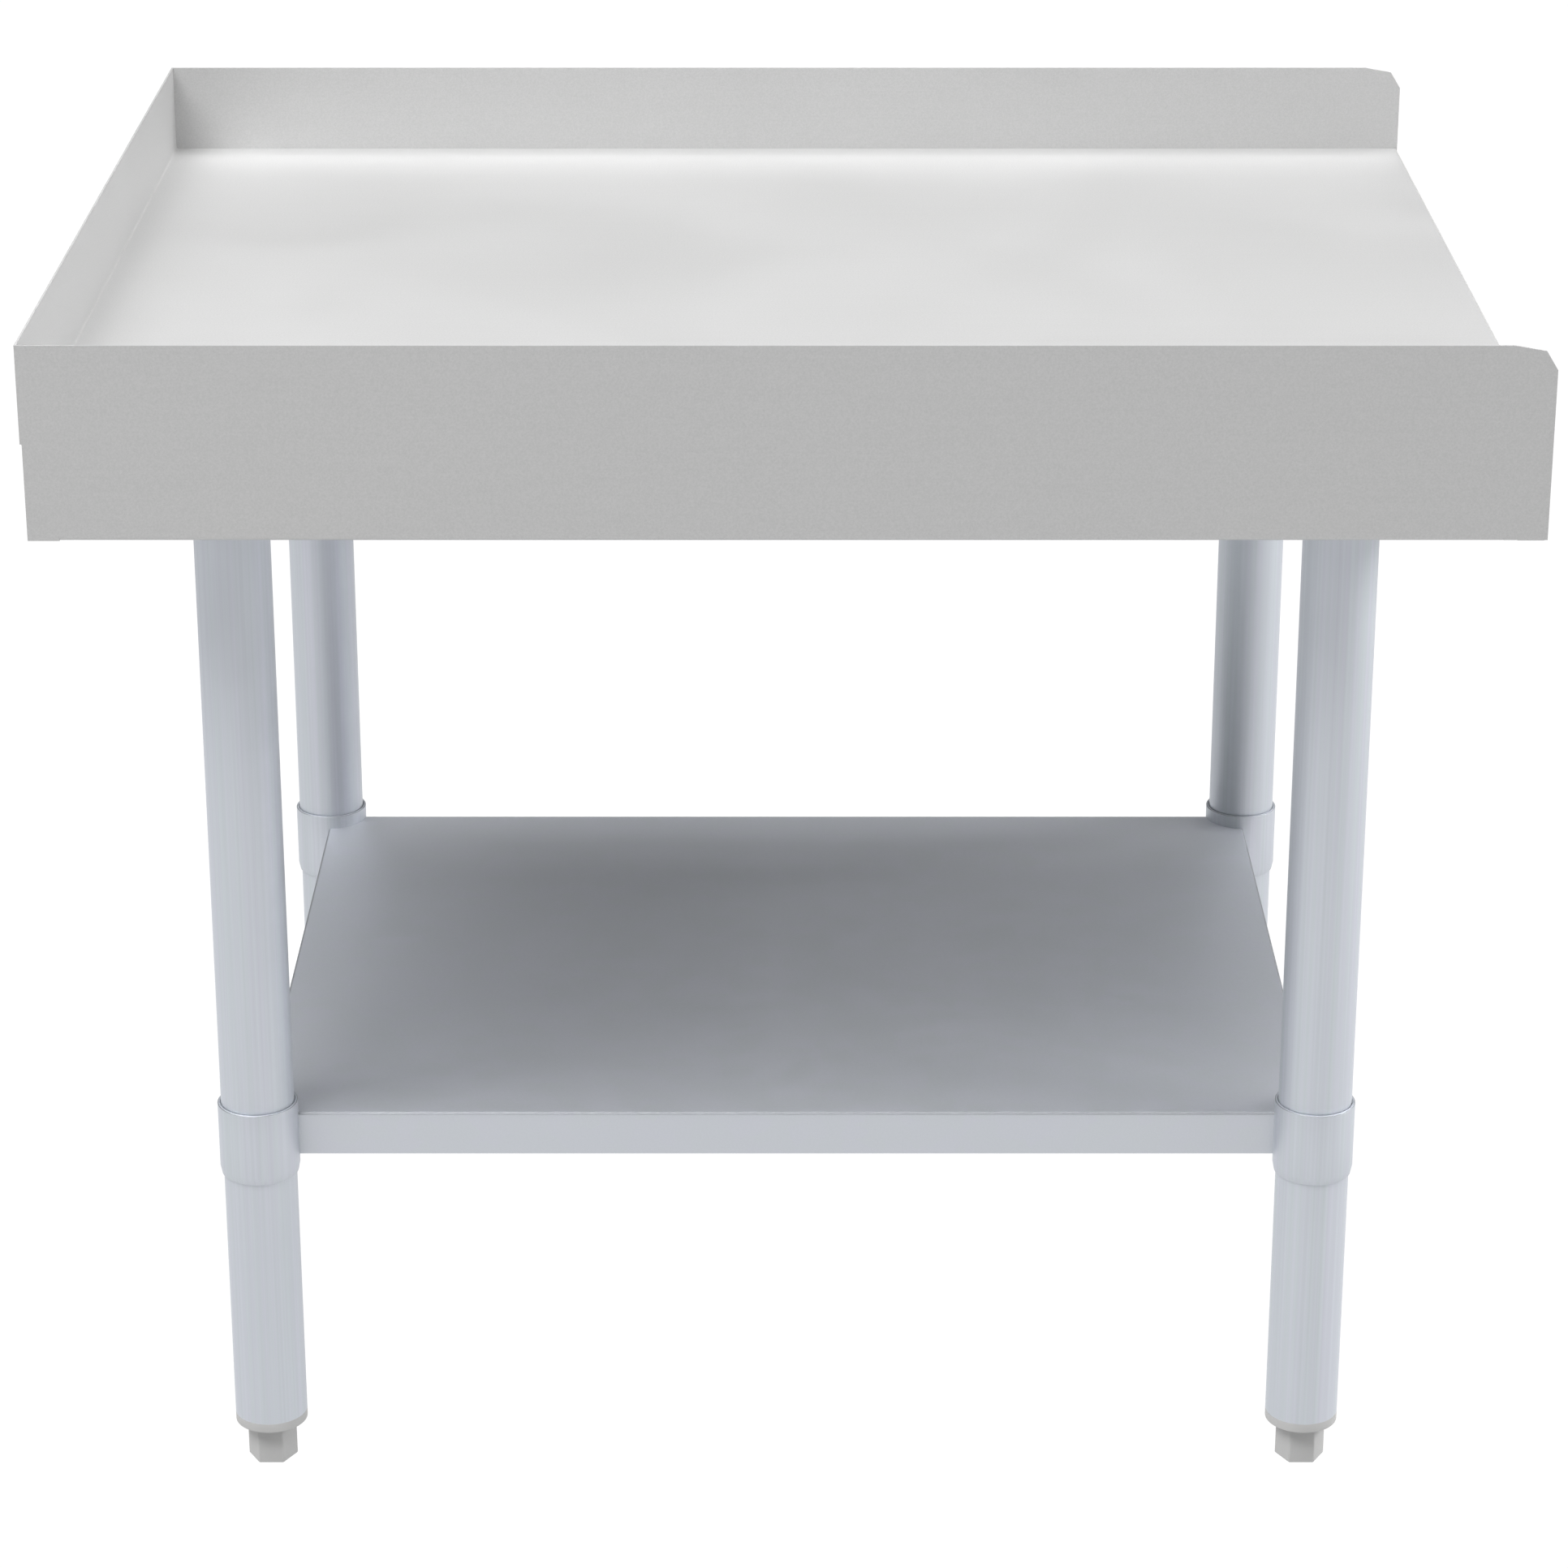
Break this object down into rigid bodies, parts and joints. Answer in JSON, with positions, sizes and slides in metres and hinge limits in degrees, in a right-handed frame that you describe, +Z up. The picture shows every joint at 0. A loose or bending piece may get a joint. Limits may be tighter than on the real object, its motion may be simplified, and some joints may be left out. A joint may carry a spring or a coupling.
{
  "type": "work table",
  "caption": "Free-standing stainless-topped kitchen work table, upturned on both long sides and one end, with round legs, a height-adjustable undershelf and screw feet.",
  "frame": {"origin": "on the floor under the middle of the table", "axes": "+X along the table towards its open end, +Y from front to back, +Z up"},
  "size_m": [0.762, 0.628, 0.6735],
  "materials": {
    "stainless": "fine satin stainless",
    "galvanised": "smooth galvanised, slightly blue",
    "foot_plastic": "grey moulded nylon",
    "zinc_fasteners": "bright zinc plate",
    "black_steel": "black oxide"
  },
  "bodies": {
    "frame": {"deck_sheet": "stainless", "front_side_panel": "stainless", "back_side_panel": "stainless", "left_apron": "stainless", "hat_channel_left": "galvanised", "hat_channel_right": "galvanised", "channel_studs": "zinc_fasteners", "channel_nuts": "zinc_fasteners", "leg_socket_front_left": "galvanised", "leg_socket_front_right": "galvanised", "leg_socket_back_left": "galvanised", "leg_socket_back_right": "galvanised", "socket_screw_front_left": "black_steel", "socket_screw_front_right": "black_steel", "socket_screw_back_left": "black_steel", "socket_screw_back_right": "black_steel", "leg_front_left": "galvanised", "leg_front_right": "galvanised", "leg_back_left": "galvanised", "leg_back_right": "galvanised", "foot_insert_front_left": "foot_plastic", "foot_insert_front_right": "foot_plastic", "foot_insert_back_left": "foot_plastic", "foot_insert_back_right": "foot_plastic", "foot_nut_front_left": "zinc_fasteners", "foot_nut_front_right": "zinc_fasteners", "foot_nut_back_left": "zinc_fasteners", "foot_nut_back_right": "zinc_fasteners"},
    "undershelf": {"shelf_pan": "galvanised", "shelf_stiffener": "galvanised", "shelf_sleeve_front_left": "galvanised", "shelf_sleeve_front_right": "galvanised", "shelf_sleeve_back_left": "galvanised", "shelf_sleeve_back_right": "galvanised", "sleeve_nut_front_left": "zinc_fasteners", "sleeve_nut_front_right": "zinc_fasteners", "sleeve_nut_back_left": "zinc_fasteners", "sleeve_nut_back_right": "zinc_fasteners", "sleeve_screw_front_left": "black_steel", "sleeve_screw_front_right": "black_steel", "sleeve_screw_back_left": "black_steel", "sleeve_screw_back_right": "black_steel"},
    "stud_front_left": {"foot_stud_front_left": "zinc_fasteners"},
    "foot_front_left": {"hex_foot_front_left": "foot_plastic"},
    "stud_front_right": {"foot_stud_front_right": "zinc_fasteners"},
    "foot_front_right": {"hex_foot_front_right": "foot_plastic"},
    "stud_back_left": {"foot_stud_back_left": "zinc_fasteners"},
    "foot_back_left": {"hex_foot_back_left": "foot_plastic"},
    "stud_back_right": {"foot_stud_back_right": "zinc_fasteners"},
    "foot_back_right": {"hex_foot_back_right": "foot_plastic"}
  },
  "joints": [
    {"name": "undershelf_slide", "type": "slide", "parent": "frame", "child": "undershelf", "axis": [0, 0, 1], "range_m": [-0.13, 0.3]},
    {"name": "foot_drop_front_left", "type": "slide", "parent": "frame", "child": "stud_front_left", "axis": [0, 0, -1], "range_m": [0, 0.024]},
    {"name": "foot_turn_front_left", "type": "hinge", "parent": "stud_front_left", "child": "foot_front_left", "pos_m": [-0.2895, -0.22, 0.0231], "axis": [0, 0, -1], "range_deg": [0, 5760]},
    {"name": "foot_drop_front_right", "type": "slide", "parent": "frame", "child": "stud_front_right", "axis": [0, 0, -1], "range_m": [0, 0.024]},
    {"name": "foot_turn_front_right", "type": "hinge", "parent": "stud_front_right", "child": "foot_front_right", "pos_m": [0.2895, -0.22, 0.0231], "axis": [0, 0, -1], "range_deg": [0, 5760]},
    {"name": "foot_drop_back_left", "type": "slide", "parent": "frame", "child": "stud_back_left", "axis": [0, 0, -1], "range_m": [0, 0.024]},
    {"name": "foot_turn_back_left", "type": "hinge", "parent": "stud_back_left", "child": "foot_back_left", "pos_m": [-0.2895, 0.22, 0.0231], "axis": [0, 0, -1], "range_deg": [0, 5760]},
    {"name": "foot_drop_back_right", "type": "slide", "parent": "frame", "child": "stud_back_right", "axis": [0, 0, -1], "range_m": [0, 0.024]},
    {"name": "foot_turn_back_right", "type": "hinge", "parent": "stud_back_right", "child": "foot_back_right", "pos_m": [0.2895, 0.22, 0.0231], "axis": [0, 0, -1], "range_deg": [0, 5760]}
  ],
  "couplings": [
    {"joint": "foot_turn_front_left", "follows": "foot_drop_front_left", "rad_per_m": 4188.8},
    {"joint": "foot_turn_front_right", "follows": "foot_drop_front_right", "rad_per_m": 4188.8},
    {"joint": "foot_turn_back_left", "follows": "foot_drop_back_left", "rad_per_m": 4188.8},
    {"joint": "foot_turn_back_right", "follows": "foot_drop_back_right", "rad_per_m": 4188.8}
  ]
}
